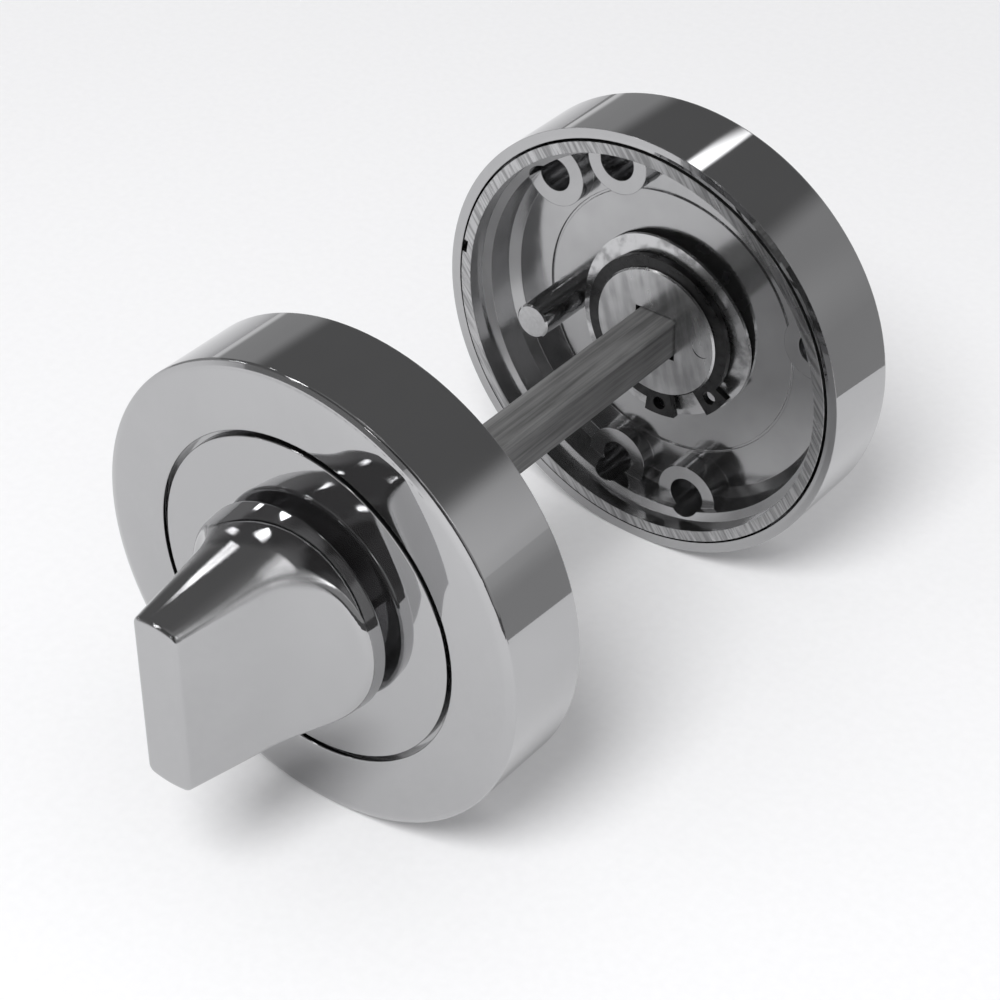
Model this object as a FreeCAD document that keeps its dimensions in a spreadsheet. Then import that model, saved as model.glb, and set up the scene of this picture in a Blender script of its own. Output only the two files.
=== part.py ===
import FreeCAD, Part
import os
import re
import Sketcher

# Bathroom thumb turn and emergency release, millimetres.
# The spindle runs along Y, the turn side faces -Y, +Z is up with the turn upright.
# Y = 0 is the door face under the turn rose; the release rose sits on the other door face.

SIZES = [
    ("door_thickness", 45.0, "between the two door faces, as in the photo"),
    ("rose_radius", 26.0, "outside of both roses"),
    ("rose_depth", 10.3, "door face to front face"),
    ("cover_lift", 0.15, "the cover stops short of the door"),
    ("cover_wall", 1.2, "pressed cover"),
    ("cover_roll_wide", 0.8, "polished roll-off of the front edge, across"),
    ("cover_roll_deep", 0.33, "the same, along the axis"),
    ("cover_roll_outer", 0.25, "rounding of its outer edge"),
    ("cover_roll_inner", 0.9, "rounding of its inner edge"),
    ("cover_face", 7.45, "front ring of the cover, round the flush disc"),
    ("cover_hole_round", 0.15, "rounded edge of the opening for the disc"),
    ("disc_gap", 0.55, "shadow gap round the flush disc"),
    ("disc_round", 0.15, "rounded edge of the flush disc"),
    ("cover_fit", 0.3, "cover wall to base rim"),
    ("rim_wall", 1.3, "rim of the base at its mouth"),
    ("rim_ledge_depth", 2.2, "door face to the ledge inside the mouth"),
    ("ledge_width", 1.0, "ledge inside the mouth"),
    ("ledge_slope", 0.4, "fall of the ledge"),
    ("wall_draft", 0.2, "casting draft below the ledge"),
    ("floor_depth", 6.63, "door face to the floor of the base"),
    ("floor_cove", 1.0, "cove between wall and floor"),
    ("ring_line_radius", 16.34, "fine line engraved in the floor"),
    ("ring_line_width", 0.3, "its width"),
    ("ring_line_deep", 0.2, "its depth"),
    ("washer_radius", 11.2, "bowed spring washer"),
    ("washer_fit", 0.35, "its hole round the shaft"),
    ("washer_thick", 0.4, "its sheet"),
    ("washer_rise", 1.26, "rise of the bow over its two ends"),
    ("washer_play", 0.02, "ends of the bow to the floor"),
    ("washer_turned", -28.0, "direction of the ends"),
    ("shaft_radius", 7.95, "turn shank and release hub"),
    ("shaft_fit", 0.05, "running clearance on the radius"),
    ("shaft_lip", 0.31, "end of the shaft past its ring groove"),
    ("shaft_end_bevel", 0.2, "broken edge of the shaft end"),
    ("face_play", 0.05, "shoulder to the flush disc"),
    ("screw_inset", 2.5, "circle of the screw holes inside the mouth"),
    ("screw_angle", 15.6, "first wood screw hole, from +X towards +Z"),
    ("screw_boss_radius", 3.85, "raised seat round each hole"),
    ("screw_hole_radius", 2.0, "clearance for a wood screw"),
    ("bolt_hole_radius", 2.2, "clearance for a bolt through the door"),
    ("screw_boss_depth", 4.68, "door face to the three screw seats"),
    ("bolt_boss_depth", 3.4, "door face to the two bolt seats"),
    ("pin_radius", 2.1, "locating pin"),
    ("pin_circle", 13.7, "distance of the pin from the axis"),
    ("pin_angle", 186.9, "direction of the pin"),
    ("pin_proud", 0.9, "pin beyond the door face"),
    ("pin_bevel", 0.2, "broken edge of the pin"),
    ("pin_root", 1.4, "pin pressed into the floor"),
    ("notch_angle", 170.5, "lifting notch for the cover"),
    ("notch_width", 1.6, "along the rim"),
    ("notch_deep", 1.4, "along the axis"),
    ("notch_across", 0.55, "into the rim"),
    ("ring_thick", 0.8, "retaining ring"),
    ("ring_groove", 0.35, "depth of its groove in the shaft"),
    ("ring_width", 1.7, "ring across, from the bottom of the groove"),
    ("ring_play", 0.03, "ring to the top of the washer"),
    ("ring_side_play", 0.04, "ring in its groove, each side"),
    ("lug_width", 3.4, "lugs across, from the bottom of the groove"),
    ("lug_eye_inset", 1.55, "eyes of the lugs from their outside"),
    ("lug_eye_radius", 0.8, "eyes for the pliers"),
    ("ring_gap_angle", 26.0, "open gap of the ring"),
    ("lug_angle", 21.0, "each lug"),
    ("ring_turned", -62.0, "direction of the gap"),
    ("spindle_side", 5.0, "square spindle"),
    ("spindle_bevel", 0.4, "broken corners"),
    ("spindle_fit", 0.2, "square hole to spindle, each side"),
    ("spindle_seat", 17.5, "spindle seat in the turn, from the door face"),
    ("spindle_past_door", 8.2, "spindle beyond the release door face"),
    ("hub_socket_end", 10.6, "bottom of the hub's square hole, from its door face"),
    ("knob_gap", 1.2, "front face to the back of the turn"),
    ("knob_back_radius", 11.8, "cone of the turn at the back"),
    ("knob_back_round", 0.4, "rounded back edge of the turn"),
    ("knob_tip_radius", 9.81, "cone of the turn at the tip"),
    ("knob_length", 18.45, "back to tip"),
    ("knob_neck_radius", 9.5, "neck between turn and front face"),
    ("blade_half", 2.7, "half thickness of the blade at the tip"),
    ("blade_flare", 8.9, "flare of each side of the blade, degrees"),
    ("blade_sweep", 7.6, "radius of the sweep into the round back"),
    ("blade_land", 2.4, "round band left at the back"),
    ("blade_round", 1.0, "soft long edges of the blade"),
    ("tip_round", 0.5, "soft edges of its tip"),
    ("head_radius", 10.0, "coin head of the release"),
    ("head_height", 3.0, "coin head above the front face"),
    ("head_round", 0.7, "rounded edge of the head"),
    ("slot_width", 2.0, "coin slot"),
    ("slot_deep", 1.6, "coin slot"),
    ("dimple_radius", 1.2, "ejector mark on the hub end"),
    ("dimple_deep", 0.08, "its depth"),
    ("dimple_place", 6.2, "its distance from the axis"),
    ("dimple_rise", 0.4, "its height above the middle of the hub"),
    ("cutter_spare", 3.0, "how far a cutting outline runs past the solid"),
]

# Radii and depths that follow from the rose, its floor and the shaft.
RIM = "( rose_radius - cover_wall - cover_fit )"
MOUTH = f"( {RIM} - rim_wall )"
SCREW_CIRCLE = f"( {MOUTH} - screw_inset )"
COVER_HOLE = "( rose_radius - cover_face )"
WASHER_CREST = "( floor_depth - washer_play - washer_rise )"
BOW_RADIUS = "( ( washer_radius ^ 2 + washer_rise ^ 2 ) / ( 2 * washer_rise ) )"
BOW_CENTRE = f"( {WASHER_CREST} + {BOW_RADIUS} )"
RING_TOP = f"( {WASHER_CREST} - washer_thick - ring_play - ring_thick )"
SHAFT_END = f"( {RING_TOP} - ring_side_play - shaft_lip )"
RING_BED = "( shaft_radius - ring_groove )"
RING_OUTSIDE = f"( {RING_BED} + ring_width )"
LUG_OUTSIDE = f"( {RING_BED} + lug_width )"
EYE_CIRCLE = f"( {LUG_OUTSIDE} - lug_eye_inset )"
BACK = "( -1 * rose_depth - knob_gap )"
TIP = "( -1 * rose_depth - knob_gap - knob_length )"

# Places closer than this are the same, and boxes round a shape may be this much too large.
SAME = 1e-4
BOX_SLACK = 0.01

doc = FreeCAD.newDocument("thumb_turn")


def make_sheet():
    """All driving dimensions, one named value per row."""
    sheet = doc.addObject("Spreadsheet::Sheet", "Sizes")
    for row, (name, value, note) in enumerate(SIZES, start=1):
        sheet.set(f"A{row}", name)
        sheet.set(f"B{row}", str(value))
        sheet.set(f"C{row}", note)
        sheet.setAlias(f"B{row}", name)
    doc.recompute()
    return sheet


sheet = make_sheet()
NAMES = {name for name, _, _ in SIZES}


def bound(text):
    """Turn plain names into references to the sheet."""
    return re.sub("[a-z_]+", lambda word: f"Sizes.{word[0]}" if word[0] in NAMES else word[0], text)


def amount(text):
    """Present value of an expression written with sheet names."""
    result = sheet.evalExpression(bound(text))
    return float(getattr(result, "Value", result))


def bind(thing, prop, text):
    thing.setExpression(prop, bound(text))


def new_body(label):
    body = doc.addObject("PartDesign::Body", label)
    body.Label = label
    return body


def new_sketch(body, role, lift=None):
    """Sketch on one of the body's own planes, lifted along the plane's normal."""
    sketch = body.newObject("Sketcher::SketchObject", body.Name + "_sketch")
    plane = next(item for item in body.Origin.OriginFeatures if item.Role == role)
    sketch.AttachmentSupport = [(plane, "")]
    sketch.MapMode = "FlatFace"
    if lift:
        bind(sketch, "AttachmentOffset.Base.z", lift)
    return sketch


def fix_point(sketch, shape, point, across, along):
    """Hold one point of a sketch at two sheet expressions."""
    for kind, text in (("DistanceX", across), ("DistanceY", along)):
        place = Sketcher.Constraint(kind, -1, 1, shape, point, amount(text))
        number = sketch.addConstraint(place)
        bind(sketch, f"Constraints[{number}]", text)


def add_outline(sketch, corners):
    """Closed outline whose corners are pairs of sheet expressions."""
    first = sketch.GeometryCount
    spots = [FreeCAD.Vector(amount(a), amount(b), 0) for a, b in corners]
    last = len(spots)
    for index, spot in enumerate(spots):
        sketch.addGeometry(Part.LineSegment(spot, spots[(index + 1) % last]))
    for index in range(last):
        follower = first + (index + 1) % last
        sketch.addConstraint(Sketcher.Constraint("Coincident", first + index, 2, follower, 1))
    for index, (across, along) in enumerate(corners):
        fix_point(sketch, first + index, 1, across, along)


def add_circle(sketch, across, along, radius):
    centre = FreeCAD.Vector(amount(across), amount(along), 0)
    shape = sketch.addGeometry(Part.Circle(centre, FreeCAD.Vector(0, 0, 1), amount(radius)))
    number = sketch.addConstraint(Sketcher.Constraint("Radius", shape, amount(radius)))
    bind(sketch, f"Constraints[{number}]", radius)
    fix_point(sketch, shape, 3, across, along)


def turned(body, corners):
    """Solid turned about the Y axis from a half outline (radius, depth)."""
    sketch = new_sketch(body, "XY_Plane")
    add_outline(sketch, corners)
    feature = body.newObject("PartDesign::Revolution", body.Name + "_turned")
    feature.Profile = sketch
    feature.ReferenceAxis = (sketch, ["V_Axis"])
    feature.Angle = 360
    doc.recompute()
    return feature


def swept(body, kind, sketch, length, towards_plus_y=True, midplane=False):
    """Pad or pocket of a sketch by a bound length."""
    feature = body.newObject(f"PartDesign::{kind}", f"{body.Name}_{kind.lower()}")
    feature.Profile = sketch
    bind(feature, "Length", length)
    feature.Midplane = midplane
    # A sketch on the XZ plane faces -Y: a pad follows it, a pocket runs against it.
    feature.Reversed = towards_plus_y if kind == "Pad" else not towards_plus_y
    doc.recompute()
    return feature


def soften(body, kind, edges, size):
    """Fillet or chamfer on picked edges of the body's last feature."""
    base = body.Tip
    feature = body.newObject(f"PartDesign::{kind}", f"{body.Name}_{kind.lower()}")
    feature.Base = (base, edges)
    bind(feature, "Radius" if kind == "Fillet" else "Size", size)
    doc.recompute()
    return feature


def round_edges(body, radius, depth):
    """Names of the full circles about the Y axis at one radius and depth."""
    names = []
    for number, edge in enumerate(body.Tip.Shape.Edges, start=1):
        curve = edge.Curve
        if not isinstance(curve, Part.Circle):
            continue
        centre = curve.Center
        on_axis = abs(centre.x) < SAME and abs(centre.z) < SAME
        same_radius = abs(curve.Radius - amount(radius)) < SAME
        if on_axis and same_radius and abs(centre.y - amount(depth)) < SAME:
            names.append(f"Edge{number}")
    return names


def make_cover(label):
    """Pressed cover: a shallow cup with an opening for the flush disc."""
    body = new_body(label)
    inside = "rose_radius - cover_wall"
    under = "rose_depth - cover_wall"
    turned(body, [
        (inside, "cover_lift"),
        ("rose_radius", "cover_lift"),
        ("rose_radius", "rose_depth - cover_roll_deep"),
        ("rose_radius - cover_roll_wide", "rose_depth"),
        (COVER_HOLE, "rose_depth"),
        (COVER_HOLE, under),
        (inside, under),
    ])
    roll = round_edges(body, "rose_radius", "rose_depth - cover_roll_deep")
    soften(body, "Fillet", roll, "cover_roll_outer")
    roll = round_edges(body, "rose_radius - cover_roll_wide", "rose_depth")
    soften(body, "Fillet", roll, "cover_roll_inner")
    soften(body, "Fillet", round_edges(body, COVER_HOLE, "rose_depth"), "cover_hole_round")
    return body


def ring_spot(circle, angle):
    """Sheet expressions of a point on a circle about the axis."""
    return f"{circle} * cos({angle})", f"{circle} * sin({angle})"


SCREW_ANGLES = ["screw_angle", "screw_angle + 120", "screw_angle + 240"]
BOLT_ANGLES = ["screw_angle + 90", "screw_angle + 270"]


def make_base(label):
    """Cast base: cup with bearing bore, screw seats and a flush front disc."""
    body = new_body(label)
    bore = "shaft_radius + shaft_fit"
    disc = f"{COVER_HOLE} - disc_gap"
    under = "rose_depth - cover_wall"
    line_in = "ring_line_radius - ring_line_width / 2"
    line_out = "ring_line_radius + ring_line_width / 2"
    line_low = "floor_depth + ring_line_deep"
    ledge = f"{MOUTH} - ledge_width"
    wall = f"{MOUTH} - ledge_width - wall_draft"
    turned(body, [
        (bore, "floor_depth"),
        (line_in, "floor_depth"),
        (line_in, line_low),
        (line_out, line_low),
        (line_out, "floor_depth"),
        (f"{wall} - floor_cove", "floor_depth"),
        (wall, "floor_depth - floor_cove"),
        (ledge, "rim_ledge_depth + ledge_slope"),
        (MOUTH, "rim_ledge_depth"),
        (MOUTH, "0"),
        (RIM, "0"),
        (RIM, under),
        (disc, under),
        (disc, "rose_depth"),
        (bore, "rose_depth"),
    ])
    soften(body, "Fillet", round_edges(body, disc, "rose_depth"), "disc_round")
    for angles, top in ((SCREW_ANGLES, "screw_boss_depth"), (BOLT_ANGLES, "bolt_boss_depth")):
        seats = new_sketch(body, "XZ_Plane", f"-1 * {top}")
        for angle in angles:
            add_circle(seats, *ring_spot(SCREW_CIRCLE, angle), "screw_boss_radius")
        swept(body, "Pad", seats, f"{under} - {top}")
    for angles, radius in ((SCREW_ANGLES, "screw_hole_radius"), (BOLT_ANGLES, "bolt_hole_radius")):
        holes = new_sketch(body, "XZ_Plane")
        for angle in angles:
            add_circle(holes, *ring_spot(SCREW_CIRCLE, angle), radius)
        swept(body, "Pocket", holes, "rose_depth")
    root = new_sketch(body, "XZ_Plane")
    add_circle(root, *ring_spot("pin_circle", "pin_angle"), "pin_radius")
    swept(body, "Pocket", root, "floor_depth + pin_root")
    add_notch(body)
    return body


def add_notch(body):
    """Small notch in the rim where the cover can be lifted."""
    half = "notch_width / 2"
    inner = f"( {RIM} - notch_across )"
    outer = f"( {RIM} + notch_across )"
    corners = []
    for reach, side in ((inner, f"-1 * {half}"), (outer, f"-1 * {half}"), (outer, half), (inner, half)):
        across = f"{reach} * cos(notch_angle) - ( {side} ) * sin(notch_angle)"
        along = f"{reach} * sin(notch_angle) + ( {side} ) * cos(notch_angle)"
        corners.append((across, along))
    sketch = new_sketch(body, "XZ_Plane")
    add_outline(sketch, corners)
    swept(body, "Pocket", sketch, "notch_deep")


def make_pin(label):
    """Locating pin pressed into the floor of the base."""
    body = new_body(label)
    sketch = new_sketch(body, "XZ_Plane", "pin_proud")
    add_circle(sketch, *ring_spot("pin_circle", "pin_angle"), "pin_radius")
    swept(body, "Pad", sketch, "pin_proud + floor_depth + pin_root")
    ends = [f"Edge{number}" for number, edge in enumerate(body.Tip.Shape.Edges, start=1)
            if isinstance(edge.Curve, Part.Circle) and edge.Curve.Center.y < 0]
    soften(body, "Chamfer", ends, "pin_bevel")
    return body


def shaft_outline(sign):
    """Half outline of a shaft from its end to its shoulder, with the ring groove."""
    near = f"{RING_TOP} - ring_side_play"
    far = f"{RING_TOP} + ring_thick + ring_side_play"
    points = [
        ("0", SHAFT_END),
        ("shaft_radius - shaft_end_bevel", SHAFT_END),
        ("shaft_radius", f"{SHAFT_END} + shaft_end_bevel"),
        ("shaft_radius", near),
        (RING_BED, near),
        (RING_BED, far),
        ("shaft_radius", far),
        ("shaft_radius", "rose_depth + face_play"),
    ]
    return [(radius, f"{sign} * ( {depth} )") for radius, depth in points]


def square_hole(body, start, length, towards_plus_y):
    """Square socket for the spindle, cut along the axis."""
    half = "( spindle_side / 2 + spindle_fit )"
    sketch = new_sketch(body, "XZ_Plane", start)
    add_outline(sketch, [
        (f"-1 * {half}", f"-1 * {half}"),
        (half, f"-1 * {half}"),
        (half, half),
        (f"-1 * {half}", half),
    ])
    swept(body, "Pocket", sketch, length, towards_plus_y)


def add_bow(sketch, start, end, centre, radius):
    """Arc between two points of neighbouring lines, all given by sheet expressions."""
    middle = FreeCAD.Vector(amount(centre[0]), amount(centre[1]), 0)
    circle = Part.Circle(middle, FreeCAD.Vector(0, 0, 1), amount(radius))
    ends = [FreeCAD.Vector(amount(x), amount(y), 0) for x, y in (start, end)]
    first, last = (circle.parameter(spot) for spot in ends)
    shape = sketch.addGeometry(Part.ArcOfCircle(circle, first, last))
    number = sketch.addConstraint(Sketcher.Constraint("Radius", shape, amount(radius)))
    bind(sketch, f"Constraints[{number}]", radius)
    return shape


def sweep_side(body):
    """Takes one side off the cone: a flared flat that sweeps out to the round back."""
    land = f"( {BACK} - blade_land )"
    centre_y = f"( {land} - blade_sweep )"
    meet_y = f"( {centre_y} + blade_sweep * sin(blade_flare) )"
    meet_x = f"( blade_half + ( {meet_y} - {TIP} ) * tan(blade_flare) )"
    centre_x = f"( {meet_x} + blade_sweep * cos(blade_flare) )"
    outside = "( knob_back_radius + cutter_spare )"
    below = f"( {TIP} - cutter_spare )"
    start_x = "( blade_half - cutter_spare * tan(blade_flare) )"
    sketch = new_sketch(body, "XY_Plane")
    corners = [(centre_x, land), (outside, land), (outside, below), (start_x, below), (meet_x, meet_y)]
    spots = [FreeCAD.Vector(amount(x), amount(y), 0) for x, y in corners]
    for here, there in zip(spots, spots[1:]):
        sketch.addGeometry(Part.LineSegment(here, there))
    bow = add_bow(sketch, corners[0], corners[-1], (centre_x, centre_y), "blade_sweep")
    for index in range(3):
        sketch.addConstraint(Sketcher.Constraint("Coincident", index, 2, index + 1, 1))
    sketch.addConstraint(Sketcher.Constraint("Coincident", 0, 1, bow, 1))
    sketch.addConstraint(Sketcher.Constraint("Coincident", 3, 2, bow, 2))
    for index in range(4):
        fix_point(sketch, index, 1, *corners[index])
    fix_point(sketch, 3, 2, *corners[4])
    cut = body.newObject("PartDesign::Pocket", body.Name + "_side")
    cut.Profile = sketch
    cut.Type = "ThroughAll"
    cut.Midplane = True
    doc.recompute()
    other = body.newObject("PartDesign::Mirrored", body.Name + "_sides")
    other.Originals = [cut]
    plane = next(item for item in body.Origin.OriginFeatures if item.Role == "YZ_Plane")
    other.MirrorPlane = (plane, [""])
    body.Tip = other
    doc.recompute()


def make_knob(label):
    """Thumb turn: round back, flared blade, neck and shank in one casting."""
    body = new_body(label)
    outline = shaft_outline("-1")
    outline += [
        ("knob_neck_radius", "-1 * rose_depth - face_play"),
        ("knob_neck_radius", BACK),
        ("knob_back_radius", BACK),
        ("knob_tip_radius", TIP),
        ("0", TIP),
    ]
    turned(body, outline)
    soften(body, "Fillet", round_edges(body, "knob_back_radius", BACK), "knob_back_round")
    sweep_side(body)
    soften(body, "Fillet", long_edges(body), "blade_round")
    soften(body, "Fillet", tip_edges(body), "tip_round")
    square_hole(body, SHAFT_END, f"spindle_seat - {SHAFT_END}", False)
    return body


def long_edges(body):
    """Curves where the swept sides of the blade meet the cone."""
    names = []
    for number, edge in enumerate(body.Tip.Shape.Edges, start=1):
        swept_curve = not isinstance(edge.Curve, (Part.Line, Part.Circle))
        if swept_curve and edge.BoundBox.YMax < amount(f"{BACK} - blade_land / 2"):
            names.append(f"Edge{number}")
    return names


def tip_edges(body):
    """Outline of the tip."""
    flat = amount(TIP) + BOX_SLACK
    return [f"Edge{number}" for number, edge in enumerate(body.Tip.Shape.Edges, start=1)
            if edge.BoundBox.YMax < flat]


def trim_washer(body, bow, far):
    """Cuts the blank of the washer along a bow of one radius, out to a far depth."""
    reach = "( washer_radius + cutter_spare )"
    ends = f"( {BOW_CENTRE} - sqrt({bow} ^ 2 - {reach} ^ 2) )"
    corners = [(f"-1 * {reach}", ends), (f"-1 * {reach}", far), (reach, far), (reach, ends)]
    spots = [FreeCAD.Vector(amount(x), amount(y), 0) for x, y in corners]
    sketch = new_sketch(body, "XY_Plane")
    for here, there in zip(spots, spots[1:]):
        sketch.addGeometry(Part.LineSegment(here, there))
    shape = add_bow(sketch, corners[0], corners[3], ("0", BOW_CENTRE), bow)
    for index in range(2):
        sketch.addConstraint(Sketcher.Constraint("Coincident", index, 2, index + 1, 1))
    sketch.addConstraint(Sketcher.Constraint("Coincident", 0, 1, shape, 1))
    sketch.addConstraint(Sketcher.Constraint("Coincident", 2, 2, shape, 2))
    for index in range(3):
        fix_point(sketch, index, 1, *corners[index])
    fix_point(sketch, 2, 2, *corners[3])
    cut = body.newObject("PartDesign::Pocket", body.Name + "_trim")
    cut.Profile = sketch
    cut.Type = "ThroughAll"
    cut.Midplane = True
    doc.recompute()


def make_washer(label):
    """Spring washer: a thin ring bowed about the Z axis, its ends on the floor of the base."""
    body = new_body(label)
    hole = "shaft_radius + washer_fit"
    low = "floor_depth + cutter_spare"
    high = f"{WASHER_CREST} - cutter_spare"
    turned(body, [(hole, high), ("washer_radius", high), ("washer_radius", low), (hole, low)])
    trim_washer(body, BOW_RADIUS, f"( {low} + cutter_spare )")
    trim_washer(body, f"( {BOW_RADIUS} + washer_thick )", f"( {high} - cutter_spare )")
    return body


def make_hub(label):
    """Release hub: shaft with a square socket and a slotted coin head."""
    body = new_body(label)
    outline = shaft_outline("1")
    top = "rose_depth + head_height"
    outline += [
        ("head_radius", "rose_depth + face_play"),
        ("head_radius", top),
        ("0", top),
    ]
    turned(body, outline)
    soften(body, "Fillet", round_edges(body, "head_radius", top), "head_round")
    square_hole(body, f"-1 * {SHAFT_END}", f"hub_socket_end - {SHAFT_END}", True)
    slot = new_sketch(body, "XZ_Plane", f"-1 * ( {top} )")
    half = "slot_width / 2"
    reach = "( head_radius + cutter_spare )"
    add_outline(slot, [
        (f"-1 * {half}", f"-1 * {reach}"),
        (half, f"-1 * {reach}"),
        (half, reach),
        (f"-1 * {half}", reach),
    ])
    swept(body, "Pocket", slot, "slot_deep", False)
    mark = new_sketch(body, "XZ_Plane", f"-1 * {SHAFT_END}")
    add_circle(mark, "dimple_place", "dimple_rise", "dimple_radius")
    swept(body, "Pocket", mark, "dimple_deep")
    return body


def make_ring(label):
    """Spring retaining ring with a gap and two lugs with eyes."""
    body = new_body(label)
    half_gap = "ring_gap_angle / 2"
    before = f"( ring_turned - {half_gap} )"
    after = f"( ring_turned + {half_gap} )"
    sketch = new_sketch(body, "XZ_Plane", f"-1 * {RING_TOP}")
    stations = [
        (RING_BED, after),
        (LUG_OUTSIDE, after),
        (LUG_OUTSIDE, f"( {after} + lug_angle )"),
        (RING_OUTSIDE, f"( {after} + lug_angle )"),
        (RING_OUTSIDE, f"( {before} - lug_angle + 360 )"),
        (LUG_OUTSIDE, f"( {before} - lug_angle + 360 )"),
        (LUG_OUTSIDE, f"( {before} + 360 )"),
        (RING_BED, f"( {before} + 360 )"),
    ]
    spots = [ring_spot(radius, angle) for radius, angle in stations]
    last = len(spots)
    for index in range(last):
        start, end = spots[index], spots[(index + 1) % last]
        same = stations[index][0] == stations[(index + 1) % last][0]
        if not same:
            points = [FreeCAD.Vector(amount(x), amount(y), 0) for x, y in (start, end)]
            sketch.addGeometry(Part.LineSegment(*points))
        elif index == last - 1:
            add_bow(sketch, end, start, ("0", "0"), stations[index][0])
        else:
            add_bow(sketch, start, end, ("0", "0"), stations[index][0])
    for index in range(last - 2):
        sketch.addConstraint(Sketcher.Constraint("Coincident", index, 2, index + 1, 1))
    sketch.addConstraint(Sketcher.Constraint("Coincident", last - 2, 2, last - 1, 2))
    sketch.addConstraint(Sketcher.Constraint("Coincident", last - 1, 1, 0, 1))
    for index in range(0, last, 2):
        fix_point(sketch, index, 1, *spots[index])
        fix_point(sketch, index, 2, *spots[index + 1])
    for angle in (f"( {after} + lug_angle / 2 )", f"( {before} - lug_angle / 2 )"):
        add_circle(sketch, *ring_spot(EYE_CIRCLE, angle), "lug_eye_radius")
    swept(body, "Pad", sketch, "ring_thick")
    return body


def make_spindle(label):
    """Square spindle with broken corners."""
    body = new_body(label)
    side = "spindle_side / 2"
    short = "( spindle_side / 2 - spindle_bevel )"
    sketch = new_sketch(body, "XZ_Plane", "spindle_seat")
    corners = []
    for across, along in (("1", "-1"), ("1", "1"), ("-1", "1"), ("-1", "-1")):
        flat = (f"{across} * {side}", f"{along} * {short}")
        steep = (f"{across} * {short}", f"{along} * {side}")
        corners += [flat, steep] if across == along else [steep, flat]
    add_outline(sketch, corners)
    swept(body, "Pad", sketch, "spindle_seat + door_thickness + spindle_past_door")
    return body


def flip(body, angle):
    """Turns a piece over about a line through the axis, at an angle from +X towards +Z."""
    line = f"vector(cos({angle}); 0; sin({angle}))"
    bind(body, "Placement", f"placement(vector(0; 0; 0); rotation({line}; 180))")


def build():
    """All pieces. Roses are made facing +Y, and the turn's is turned over to face -Y."""
    turn_rose = [make_cover("turn_cover"), make_base("turn_base"), make_pin("turn_pin")]
    turn_washer = make_washer("turn_washer")
    turn = [make_knob("thumb_turn_knob"), make_ring("turn_ring"), make_spindle("spindle")]
    release_rose = [make_cover("release_cover"), make_base("release_base"), make_pin("release_pin")]
    release_washer = make_washer("release_washer")
    release = [make_hub("release_hub"), make_ring("release_ring")]
    for body in turn_rose:
        flip(body, "screw_angle")
    flip(turn_washer, "washer_turned / 2")
    flip(turn[1], "90")
    for body in release_rose + release:
        bind(body, "Placement.Base.y", "door_thickness")
    swing = "rotation(vector(0; 1; 0); -1 * washer_turned)"
    bind(release_washer, "Placement", f"placement(vector(0; door_thickness; 0); {swing})")
    return turn_rose + [turn_washer] + turn + release_rose + [release_washer] + release


def write(bodies):
    """Checks every piece and writes it under its label."""
    doc.recompute()
    for item in doc.Objects:
        if "Invalid" in item.State or "Error" in item.State:
            raise RuntimeError(f"{item.Label} did not build")
    os.makedirs("parts", exist_ok=True)
    for body in bodies:
        shape = body.Shape
        if shape.isNull() or not shape.isValid():
            raise RuntimeError(f"{body.Label} is not a sound solid")
        shape.exportStep(f"parts/{body.Label}.step")
        print(body.Label, round(shape.Volume, 1), len(shape.Solids))


write(build())
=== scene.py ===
import math

import bmesh
import bpy
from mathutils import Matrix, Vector


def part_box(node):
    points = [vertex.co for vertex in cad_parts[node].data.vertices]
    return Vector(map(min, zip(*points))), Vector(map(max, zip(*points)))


# Looks of a bathroom thumb turn: polished and satin plating, steel, a pale floor and a light tent.
# Metres, in the frame of the solids: the spindle runs along Y and the turn faces -Y.

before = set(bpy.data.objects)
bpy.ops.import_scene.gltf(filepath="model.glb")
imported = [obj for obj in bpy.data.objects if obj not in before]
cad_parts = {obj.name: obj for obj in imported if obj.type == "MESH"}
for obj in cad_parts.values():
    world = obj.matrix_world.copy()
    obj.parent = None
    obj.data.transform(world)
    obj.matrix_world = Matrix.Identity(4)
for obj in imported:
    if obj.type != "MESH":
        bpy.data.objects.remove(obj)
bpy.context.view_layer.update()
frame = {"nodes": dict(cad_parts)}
MM = 0.001

# Places on the object, read from the solids.
TURN_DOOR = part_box("turn_base")[1].y
TURN_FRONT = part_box("turn_base")[0].y
TURN_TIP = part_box("thumb_turn_knob")[0].y
RELEASE_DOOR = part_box("release_base")[0].y
RELEASE_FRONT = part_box("release_base")[1].y
HEAD_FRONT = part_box("release_hub")[1].y
FLOOR_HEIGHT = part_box("turn_cover")[0].z

# Radii of a rose's front: where its flush disc ends, and where the ring round it starts and ends.
DISC_EDGE = 17.98 * MM
RING_EDGE = 18.57 * MM
RING_END = 25.2 * MM

# Finish that several pieces share, the grey of the painted shade in the gap round the flush disc,
# and the span that nearly all of a noise's values lie in.
METALLIC = 0.98
PLATING = 0.47
GAP_SHADE = 0.15
EDGE_SOFTNESS = 0.12 * MM
NOISE_SPAN = (0.3, 0.7)

# The photograph's view: where the camera stands, what way it looks and how long its lens is.
CAMERA_PLACE = Vector((0.13614, -0.15314, 0.16264))
CAMERA_AZIMUTH = math.radians(38.04)
CAMERA_ELEVATION = math.radians(37.45)
CAMERA_LENS = 94.49
CAMERA_SENSOR = 36.0

# Brightness of the paper floor and the room, and of what only the metal mirrors.
FLOOR_PALE = 0.8
ROOM_LIGHT = 0.56
WALL_GREY = 0.34
CEILING_GREY = 0.12
ZENITH_LIGHT = 0.13
TABLE_GREY = 0.33
GROUND_GREY = 0.09

# Sizes of the stage in metres, and of the boards on it in millimetres.
TENT_RADIUS = 1.2
FLOOR_REACH = 3.0
TABLE_BEHIND = ((-1517, 1326), (1690, -1164), (2917, 416), (-290, 2906))
GROUND_BY_CAMERA = ((1599, 1283), (60, -160), (130, -2000), (2500, -2000))

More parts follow.
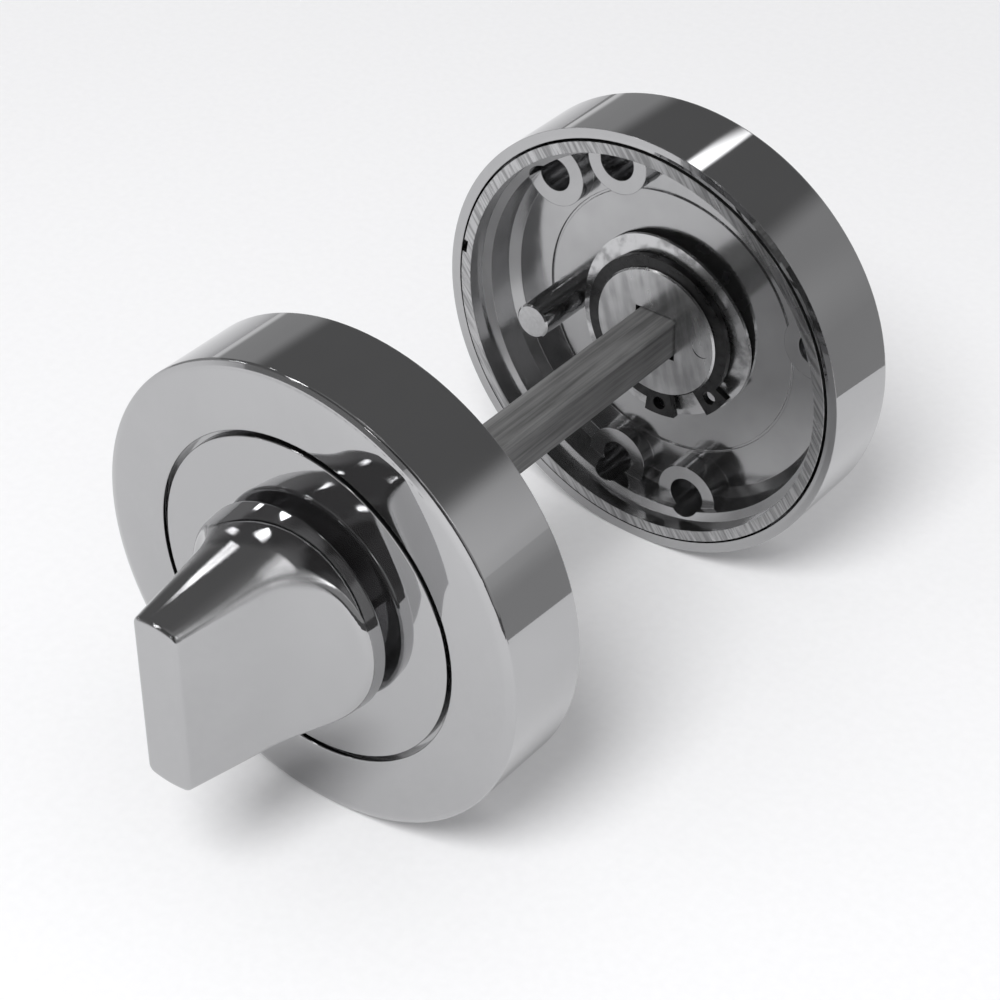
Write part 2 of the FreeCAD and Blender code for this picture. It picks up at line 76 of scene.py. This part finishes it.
# The one lamp that isn't mirrored.
LAMP_PLACE = Vector((0.12, -0.42, 0.62))
LAMP_SIZE = 0.35
LAMP_WATTS = 4.5


def grey(level):
    """Grey with the faint blue of chrome."""
    return (level, level, level * 1.01, 1.0)


class Nodes:
    """Nodes of one tree, with a short call for each thing that they work out."""

    def __init__(self, tree):
        self.tree = tree

    def feed(self, socket, value):
        """Sets an input to a value, or joins it to the socket that is given."""
        if isinstance(value, bpy.types.NodeSocket):
            self.tree.links.new(value, socket)
        else:
            socket.default_value = value

    def add(self, kind, inputs=(), **settings):
        """Node with its settings and its inputs."""
        made = self.tree.nodes.new(kind)
        for name, value in settings.items():
            setattr(made, name, value)
        for name, value in dict(inputs).items():
            self.feed(made.inputs[name], value)
        return made

    def calculate(self, operation, first, second=0.0, third=0.0):
        """Result of one operation."""
        inputs = {0: first, 1: second, 2: third}
        return self.add("ShaderNodeMath", inputs, operation=operation).outputs[0]

    def times(self, first, second, plus=0.0):
        """Product of two values, with a third added to it."""
        return self.calculate("MULTIPLY_ADD", first, second, plus)

    def between(self, share, first, second):
        """Value that goes from the first to the second by a share."""
        return self.times(share, self.calculate("SUBTRACT", second, first), plus=first)

    def spread(self, value, span, levels=(0.0, 1.0), curve="SMOOTHSTEP"):
        """Goes from one level to another while a value crosses a span."""
        inputs = {
            "Value": value,
            "From Min": span[0],
            "From Max": span[1],
            "To Min": levels[0],
            "To Max": levels[1],
        }
        return self.add("ShaderNodeMapRange", inputs, interpolation_type=curve).outputs["Result"]

    def past(self, value, edge, fade):
        """1 past an edge and 0 before it, with a fade either side."""
        return self.spread(value, (edge - fade, edge + fade))

    def before(self, value, edge, fade):
        """1 before an edge and 0 past it, with a fade either side."""
        return self.spread(value, (edge - fade, edge + fade), (1.0, 0.0))

    def inside(self, value, edges, fade):
        """1 between two edges and 0 outside them."""
        return self.times(self.past(value, edges[0], fade), self.before(value, edges[1], fade))

    def mix(self, share, first, second):
        """Colour that goes from the first to the second by a share."""
        inputs = {0: share, 6: first, 7: second}
        return self.add("ShaderNodeMix", inputs, data_type="RGBA").outputs[2]

    def object_place(self):
        """Point on the object, in the object's own frame."""
        return self.add("ShaderNodeTexCoord").outputs["Object"]

    def split(self, vector):
        """X, Y and Z of a vector."""
        return self.add("ShaderNodeSeparateXYZ", {0: vector}).outputs

    def noise(self, place, scale, detail, stretch=(1, 1, 1), turn=(0, 0, 0)):
        """Noise of a number of features a metre, turned and then stretched along the axes."""
        turned = self.add("ShaderNodeMapping", {"Vector": place, "Rotation": turn}).outputs[0]
        stretched = self.add("ShaderNodeMapping", {"Vector": turned, "Scale": stretch}).outputs[0]
        inputs = {"Vector": stretched, "Scale": scale, "Detail": detail}
        return self.add("ShaderNodeTexNoise", inputs).outputs[0]

    def from_camera(self):
        """1 for what the camera sees itself, and 0 for light and mirrors."""
        return self.add("ShaderNodeLightPath").outputs["Is Camera Ray"]


class Material(Nodes):
    """New material, with nodes of its own."""

    def __init__(self, name):
        self.material = bpy.data.materials.new(name)
        self.material.use_nodes = True
        super().__init__(self.material.node_tree)


class Metal(Material):
    """Metal, with the place along the spindle and the distance from its axis."""

    def __init__(self, name):
        super().__init__(name)
        self.inputs = self.tree.nodes["Principled BSDF"].inputs
        self.inputs["Metallic"].default_value = METALLIC
        self.place = self.object_place()
        x, self.along, z = self.split(self.place)
        self.radius = self.calculate("SQRT", self.times(z, z, plus=self.times(x, x)))

    def grain(self, scale, detail, stretch=(1, 1, 1), turn=(0, 0, 0)):
        """Noise that rides on the object."""
        return self.noise(self.place, scale, detail, stretch, turn)

    def finish(self, colour, roughness, height, softness=None):
        """Joins colour, roughness and the surface's height in millimetres, over softened edges."""
        bump = self.add("ShaderNodeBump", {"Height": height, "Strength": 1.0, "Distance": MM})
        if softness is not None:
            bevel = self.add("ShaderNodeBevel", {"Radius": softness}, samples=4)
            self.feed(bump.inputs["Normal"], bevel.outputs[0])
        self.feed(self.inputs["Base Color"], colour)
        self.feed(self.inputs["Roughness"], roughness)
        self.feed(self.inputs["Normal"], bump.outputs[0])
        return self.material


class Glow(Material):
    """Nothing but light, which a mirror finds by its own reflection."""

    def __init__(self, name):
        super().__init__(name)
        self.tree.nodes.clear()
        self.material.cycles.emission_sampling = "NONE"

    def finish(self, strength):
        """Joins the strength of the light, a number or a socket."""
        light = self.add("ShaderNodeEmission", {"Color": grey(1.0), "Strength": strength})
        self.add("ShaderNodeOutputMaterial", {"Surface": light.outputs[0]})
        return self.material


class Patch:
    """Part of the tent between two azimuths and two elevations, with a soft edge, in degrees."""

    def __init__(self, azimuths, elevations, soft, level):
        self.azimuths = azimuths
        self.elevations = elevations
        self.soft = soft
        self.level = level

    def light(self, glow, azimuth, elevation):
        """Its light by direction."""
        across = glow.inside(azimuth, self.azimuths, self.soft)
        upright = glow.inside(elevation, self.elevations, self.soft)
        return glow.times(glow.times(across, upright), self.level)


# What darkens the wall and the ceiling of the tent, by a share of their light.
SHADES = {
    "dark room behind the camera": Patch((128, 172), (-90, 66), soft=4.0, level=-0.85),
    "dimmer room beside it": Patch((-190, -134), (-20, 66), soft=5.0, level=-0.4),
}

# What lights the tent, and the one dark bar across it.
LAMPS = {
    "window": Patch((45, 78), (7, 36), soft=9.0, level=0.34),
    "stripe": Patch((-75, -38), (-3, 2), soft=1.5, level=0.45),
    "soft box": Patch((52, 96), (34, 60), soft=6.0, level=0.7),
    "middle of the soft box": Patch((78, 92), (36, 46), soft=3.0, level=2.5),
    "left lamp": Patch((-61.6, -57.6), (36.8, 38.8), soft=0.3, level=9.0),
    "lamp by the camera": Patch((-133, -125), (44, 53), soft=0.3, level=8.0),
    "low lamp": Patch((-120, -118), (20, 25), soft=0.3, level=8.0),
    "second low lamp": Patch((-145, -143), (21, 26), soft=0.3, level=6.0),
    "third low lamp": Patch((-141, -138), (32, 35), soft=0.3, level=6.0),
    "lamp in front": Patch((-178, -174), (30, 37), soft=0.3, level=8.0),
    "back lamp": Patch((-16, -9), (40, 44), soft=1.2, level=3.0),
    "top lamp": Patch((-12, 26), (64.5, 69), soft=1.8, level=1.5),
}
SOFT_BOX_BAR = Patch((65, 92), (49, 56), soft=1.5, level=-0.8)


def fall(metal, radius, start, reach, slope):
    """Height in millimetres that falls ever steeper past a radius; a reach below 0 runs inward."""
    away = metal.calculate("DIVIDE", metal.calculate("SUBTRACT", radius, start), reach)
    cube = metal.calculate("POWER", metal.calculate("MAXIMUM", away, 0.0), 3.0)
    return metal.times(cube, -slope * abs(reach) / (3 * MM))


def crown(metal):
    """Crowned front: the disc and the ring fall off toward the gap, and the ring toward its rim."""
    # Both go on a little way into the gap.
    disc_end = DISC_EDGE + 0.22 * MM
    ring_start = RING_EDGE - 0.07 * MM
    on_disc = metal.calculate("MINIMUM", metal.radius, disc_end)
    on_ring = metal.calculate("MAXIMUM", metal.radius, ring_start)
    on_ring = metal.calculate("MINIMUM", on_ring, RING_END)
    disc = fall(metal, on_disc, start=13.0 * MM, reach=5.0 * MM, slope=0.08)
    inner = fall(metal, on_ring, start=21.5 * MM, reach=-3.0 * MM, slope=0.09)
    outer = fall(metal, on_ring, start=21.0 * MM, reach=4.2 * MM, slope=0.13)
    return metal.calculate("ADD", disc, metal.calculate("ADD", inner, outer))


def gap_shade(metal):
    """Share of painted shade in the gap between the flush disc and the cover, darkened where shade
    falls.
    """
    return metal.inside(metal.radius, (DISC_EDGE, RING_EDGE), fade=0.01 * MM)


def blade_softness(metal):
    """Softness of the blade's edges, widest where its sides sweep into the round back."""
    tip_softness = 0.3 * MM
    sweep_softness = 2.0 * MM
    sweep = TURN_FRONT - 6.5 * MM
    back = TURN_FRONT - 3.5 * MM
    softness = metal.spread(metal.along, (TURN_TIP, sweep), (tip_softness, sweep_softness))
    return metal.times(softness, metal.spread(metal.along, (sweep, back), (1.0, 0.0)))


def polished_chrome(name, level, is_cover):
    """Mirror plating with faint haze, wiping marks and the slight waviness of a buffed casting."""
    metal = Metal(name)
    haze = metal.grain(90, detail=4)
    marks = metal.grain(700, detail=2, stretch=(1.0, 0.15, 0.4), turn=(0.4, 0.3, 0.0))
    cloud = metal.times(marks, 0.35, plus=haze)
    colour = metal.mix(cloud, grey(level * 0.95), grey(level * 1.05))
    roughness = metal.spread(cloud, (0.4, 1.0), (0.015, 0.05))
    waves = metal.times(metal.grain(55, detail=1), 0.004)
    if not is_cover:
        return metal.finish(colour, roughness, waves, blade_softness(metal))
    # The gap round the flush disc is painted dark as shade.
    colour = metal.mix(gap_shade(metal), colour, grey(GAP_SHADE))
    height = metal.calculate("ADD", waves, crown(metal))
    return metal.finish(colour, roughness, height, EDGE_SOFTNESS)


def cast_base(name, door, front):
    """Base casting: polished flush disc, plated hollow and a ground rim on the door side."""
    metal = Metal(name)
    depth = metal.calculate("ABSOLUTE", metal.calculate("SUBTRACT", metal.along, door))
    # The polish goes 1 mm down from the front, and the rim lies in the plane of the door.
    polish_end = abs(front - door) - 1.0 * MM
    hollow = metal.before(depth, polish_end, fade=0.1 * MM)
    rim = metal.before(depth, 0.02 * MM, fade=0.01 * MM)
    blotch = metal.grain(260, detail=4)
    hatch = metal.grain(2600, detail=2, stretch=(1.0, 1.0, 0.07), turn=(0.0, math.radians(37), 0.0))
    cast = metal.mix(blotch, grey(0.38), grey(0.52))
    ground = metal.mix(metal.spread(hatch, (0.38, 0.62)), grey(0.3), grey(0.55))
    # The edge of the disc by the gap is painted dark as shade.
    colour = metal.mix(gap_shade(metal), grey(PLATING), grey(GAP_SHADE))
    colour = metal.mix(hollow, colour, cast)
    colour = metal.mix(rim, colour, ground)
    satin = metal.spread(blotch, (0.35, 0.65), (0.11, 0.18))
    roughness = metal.times(rim, 0.15, plus=metal.between(hollow, 0.05, satin))
    uneven = metal.times(metal.grain(240, detail=1), 0.014)
    lines = metal.times(metal.times(hatch, rim), 0.012)
    height = metal.times(uneven, hollow, plus=lines)
    disc = metal.calculate("SUBTRACT", 1.0, hollow)
    height = metal.times(crown(metal), disc, plus=height)
    return metal.finish(colour, roughness, height, EDGE_SOFTNESS)


def satin_hub(name, front):
    """Shaft and coin head of the release: brushed satin end, polished head and painted shade in the
    slot.
    """
    metal = Metal(name)
    head = metal.past(metal.along, front - 0.2 * MM, fade=0.2 * MM)
    blotch = metal.grain(230, detail=3)
    brushed = metal.grain(900, detail=3, stretch=(1.0, 1.0, 0.14), turn=(0.0, math.radians(14), 0.0))
    streaks = metal.times(brushed, 0.5, plus=metal.times(blotch, 0.5))
    brushed_end = metal.mix(metal.spread(streaks, (0.36, 0.62)), grey(0.37), grey(0.6))
    # The slot is what lies deeper than the front of the head, inside its rounded rim.
    sunk = metal.before(metal.along, HEAD_FRONT - 0.4 * MM, fade=0.1 * MM)
    within = metal.before(metal.radius, 9.7 * MM, fade=0.1 * MM)
    slot = metal.times(metal.times(sunk, within), head)
    colour = metal.mix(head, brushed_end, grey(PLATING))
    # The slot is painted dark as shade, so that it reads against the head.
    colour = metal.mix(slot, colour, grey(0.1))
    satin = metal.spread(streaks, (0.35, 0.65), (0.18, 0.28))
    roughness = metal.between(head, satin, 0.04)
    height = metal.times(brushed, 0.002, plus=metal.times(blotch, 0.02))
    height = metal.times(height, metal.spread(head, (0.0, 1.0), (1.0, 0.05)))
    return metal.finish(colour, roughness, height)


def drawn_steel(name):
    """Dull drawn bar: fine lines along the spindle and darker mill stains."""
    metal = Metal(name)
    metal.inputs["Metallic"].default_value = 0.12
    metal.inputs["Specular IOR Level"].default_value = 0.25
    lines = metal.grain(4200, detail=2, stretch=(1.0, 0.02, 1.0))
    streaks = metal.grain(1100, detail=3, stretch=(1.0, 0.05, 1.0))
    stains = metal.grain(240, detail=4, stretch=(1.0, 0.35, 1.0))
    blend = metal.times(stains, 0.35, plus=metal.times(lines, 0.3))
    blend = metal.times(streaks, 0.35, plus=blend)
    colour = metal.spread(blend, (0.36, 0.64), (0.07, 0.21), curve="LINEAR")
    roughness = metal.spread(blend, NOISE_SPAN, (0.5, 0.36))
    return metal.finish(colour, roughness, height=metal.times(lines, 0.006))


def turned_steel(name):
    """Locating pin: bright turned end and a smooth side."""
    metal = Metal(name)
    fine = metal.grain(1800, detail=3, stretch=(1.0, 0.2, 1.0))
    colour = metal.mix(fine, grey(0.4), grey(0.6))
    roughness = metal.spread(fine, NOISE_SPAN, (0.1, 0.18))
    return metal.finish(colour, roughness, height=metal.times(fine, 0.003))


def mottled_washer(name):
    """Plated spring washer: pale with dark wear patches."""
    metal = Metal(name)
    patch = metal.grain(420, detail=5)
    colour = metal.mix(metal.spread(patch, (0.42, 0.58)), grey(0.34), grey(0.6))
    roughness = metal.spread(patch, NOISE_SPAN, (0.3, 0.16))
    return metal.finish(colour, roughness, height=metal.times(patch, 0.012))


def black_spring(name):
    """Blackened spring steel, oiled."""
    metal = Metal(name)
    mottle = metal.grain(900, detail=4)
    colour = metal.mix(mottle, grey(0.02), grey(0.09))
    roughness = metal.spread(mottle, NOISE_SPAN, (0.25, 0.42))
    return metal.finish(colour, roughness, height=metal.times(mottle, 0.004))


def dress(nodes):
    """Gives every solid its material."""
    chrome = polished_chrome("cover_chrome_look", PLATING, is_cover=True)
    turn_chrome = polished_chrome("turn_chrome_look", 0.46, is_cover=False)
    steel = turned_steel("pin_steel_look")
    spring = black_spring("spring_steel_look")
    washer = mottled_washer("washer_steel_look")
    looks = {
        "turn_cover": chrome,
        "release_cover": chrome,
        "thumb_turn_knob": turn_chrome,
        "turn_base": cast_base("turn_base_look", TURN_DOOR, TURN_FRONT),
        "release_base": cast_base("release_base_look", RELEASE_DOOR, RELEASE_FRONT),
        "release_hub": satin_hub("hub_look", RELEASE_FRONT),
        "spindle": drawn_steel("spindle_look"),
        "turn_pin": steel,
        "release_pin": steel,
        "turn_ring": spring,
        "release_ring": spring,
        "turn_washer": washer,
        "release_washer": washer,
    }
    for name, look in looks.items():
        mesh = nodes[name].data
        mesh.materials.clear()
        mesh.materials.append(look)


def add_object(name, data):
    """Object in the scene, at the origin."""
    made = bpy.data.objects.new(name, data)
    bpy.context.scene.collection.objects.link(made)
    return made


def stage_for_metal(name, mesh, light):
    """Adds a mesh that only the metal mirrors, unseen by the camera and casting no shadow."""
    mesh.materials.append(light)
    piece = add_object(name, mesh)
    piece.visible_camera = False
    piece.visible_diffuse = False
    piece.visible_shadow = False
    return piece


def tent_light(glow):
    """Brightness of the tent by direction: azimuth 0 is +Y and 90 is +X."""
    x, y, z = glow.split(glow.object_place())
    azimuth = glow.times(glow.calculate("ARCTAN2", x, y), math.degrees(1))
    elevation = glow.times(glow.calculate("ARCSINE", z), math.degrees(1))
    # The ceiling starts at about 20 degrees, and 12 degrees higher on the right.
    eaves = glow.spread(x, (-0.5, 0.5), (0.0, 12.0))
    ceiling = glow.past(glow.calculate("SUBTRACT", elevation, eaves), 21.0, fade=4.0)
    zenith = glow.spread(elevation, (60.0, 75.0), (0.0, ZENITH_LIGHT))
    total = glow.times(ceiling, CEILING_GREY - WALL_GREY, plus=WALL_GREY)
    total = glow.calculate("ADD", total, zenith)
    for shade in SHADES.values():
        total = glow.times(total, shade.light(glow, azimuth, elevation), plus=total)
    for lamp in LAMPS.values():
        total = glow.calculate("ADD", total, lamp.light(glow, azimuth, elevation))
    return glow.times(total, SOFT_BOX_BAR.light(glow, azimuth, elevation), plus=total)


def light_tent():
    """Grey tent with a dark ceiling and a few lamps, as the photograph's metal mirrors it."""
    mesh = bpy.data.meshes.new("tent")
    shape = bmesh.new()
    bmesh.ops.create_icosphere(shape, subdivisions=5, radius=1.0)
    shape.to_mesh(mesh)
    shape.free()
    glow = Glow("tent_glow")
    tent = stage_for_metal("tent", mesh, glow.finish(tent_light(glow)))
    tent.scale = (TENT_RADIUS, TENT_RADIUS, TENT_RADIUS)


def floor_board(name, corners, lift, level):
    """Glowing board over the floor, its corners and its lift in millimetres."""
    height = FLOOR_HEIGHT + lift * MM
    mesh = bpy.data.meshes.new(name)
    mesh.from_pydata([(x * MM, y * MM, height) for x, y in corners], [], [range(len(corners))])
    stage_for_metal(name, mesh, Glow(name + "_glow").finish(level))


def floor_boards():
    """What lies round the white sheet: a grey table behind it and dark ground by the camera."""
    floor_board("table_back", TABLE_BEHIND, lift=0.5, level=TABLE_GREY)
    floor_board("ground_by_camera", GROUND_BY_CAMERA, lift=0.6, level=GROUND_GREY)


def floor_paper():
    """Matt paper that fades to white for the camera, away from the object."""
    paper = Material("floor_paper")
    inputs = paper.tree.nodes["Principled BSDF"].inputs
    place = paper.object_place()
    fibre = paper.noise(place, 900, detail=3)
    away = paper.add("ShaderNodeVectorMath", {0: place}, operation="LENGTH").outputs["Value"]
    lift = paper.spread(away, (0.15, 0.7), (0.06, 0.7))
    shade = paper.mix(fibre, grey(FLOOR_PALE), grey(FLOOR_PALE * 1.06))
    paper.feed(inputs["Base Color"], shade)
    paper.feed(inputs["Emission Strength"], paper.times(lift, paper.from_camera()))
    inputs["Emission Color"].default_value = grey(1.0)
    inputs["Roughness"].default_value = 0.9
    inputs["Specular IOR Level"].default_value = 0.1
    paper.material.cycles.emission_sampling = "NONE"
    return paper.material


def pale_floor():
    """Wide floor under the two roses."""
    mesh = bpy.data.meshes.new("floor")
    near, far = -FLOOR_REACH, FLOOR_REACH
    corners = [(near, near, 0), (far, near, 0), (far, far, 0), (near, far, 0)]
    mesh.from_pydata(corners, [], [range(len(corners))])
    mesh.materials.append(floor_paper())
    floor = add_object("floor", mesh)
    floor.location.z = FLOOR_HEIGHT


def room_light():
    """Even light from all round, which the camera sees as white."""
    world = bpy.data.worlds.new("room")
    world.use_nodes = True
    nodes = Nodes(world.node_tree)
    inputs = world.node_tree.nodes["Background"].inputs
    strength = nodes.spread(nodes.from_camera(), (0.0, 1.0), (ROOM_LIGHT, 1.0))
    nodes.feed(inputs["Strength"], strength)
    inputs["Color"].default_value = grey(1.0)
    bpy.context.scene.world = world


def soft_lamp():
    """One large soft lamp over the turn, kept out of the mirrors."""
    light = bpy.data.lights.new("overhead", "AREA")
    light.shape = "DISK"
    light.size = LAMP_SIZE
    light.energy = LAMP_WATTS
    lamp = add_object("overhead", light)
    lamp.location = LAMP_PLACE
    lamp.rotation_mode = "QUATERNION"
    lamp.rotation_quaternion = LAMP_PLACE.to_track_quat("Z", "Y")
    lamp.visible_glossy = False


def place_camera():
    """The photograph's own view."""
    lens = bpy.data.cameras.new("photo_view")
    lens.lens = CAMERA_LENS
    lens.sensor_width = CAMERA_SENSOR
    lens.clip_start = 0.01
    lens.clip_end = 10.0
    camera = add_object("photo_view", lens)
    camera.location = CAMERA_PLACE
    camera.rotation_euler = (math.pi / 2 - CAMERA_ELEVATION, 0.0, CAMERA_AZIMUTH)
    bpy.context.scene.camera = camera


dress(frame["nodes"])
light_tent()
floor_boards()
pale_floor()
room_light()
soft_lamp()
place_camera()
bpy.context.scene.view_settings.view_transform = "Standard"
bpy.context.scene.cycles.glossy_bounces = 8
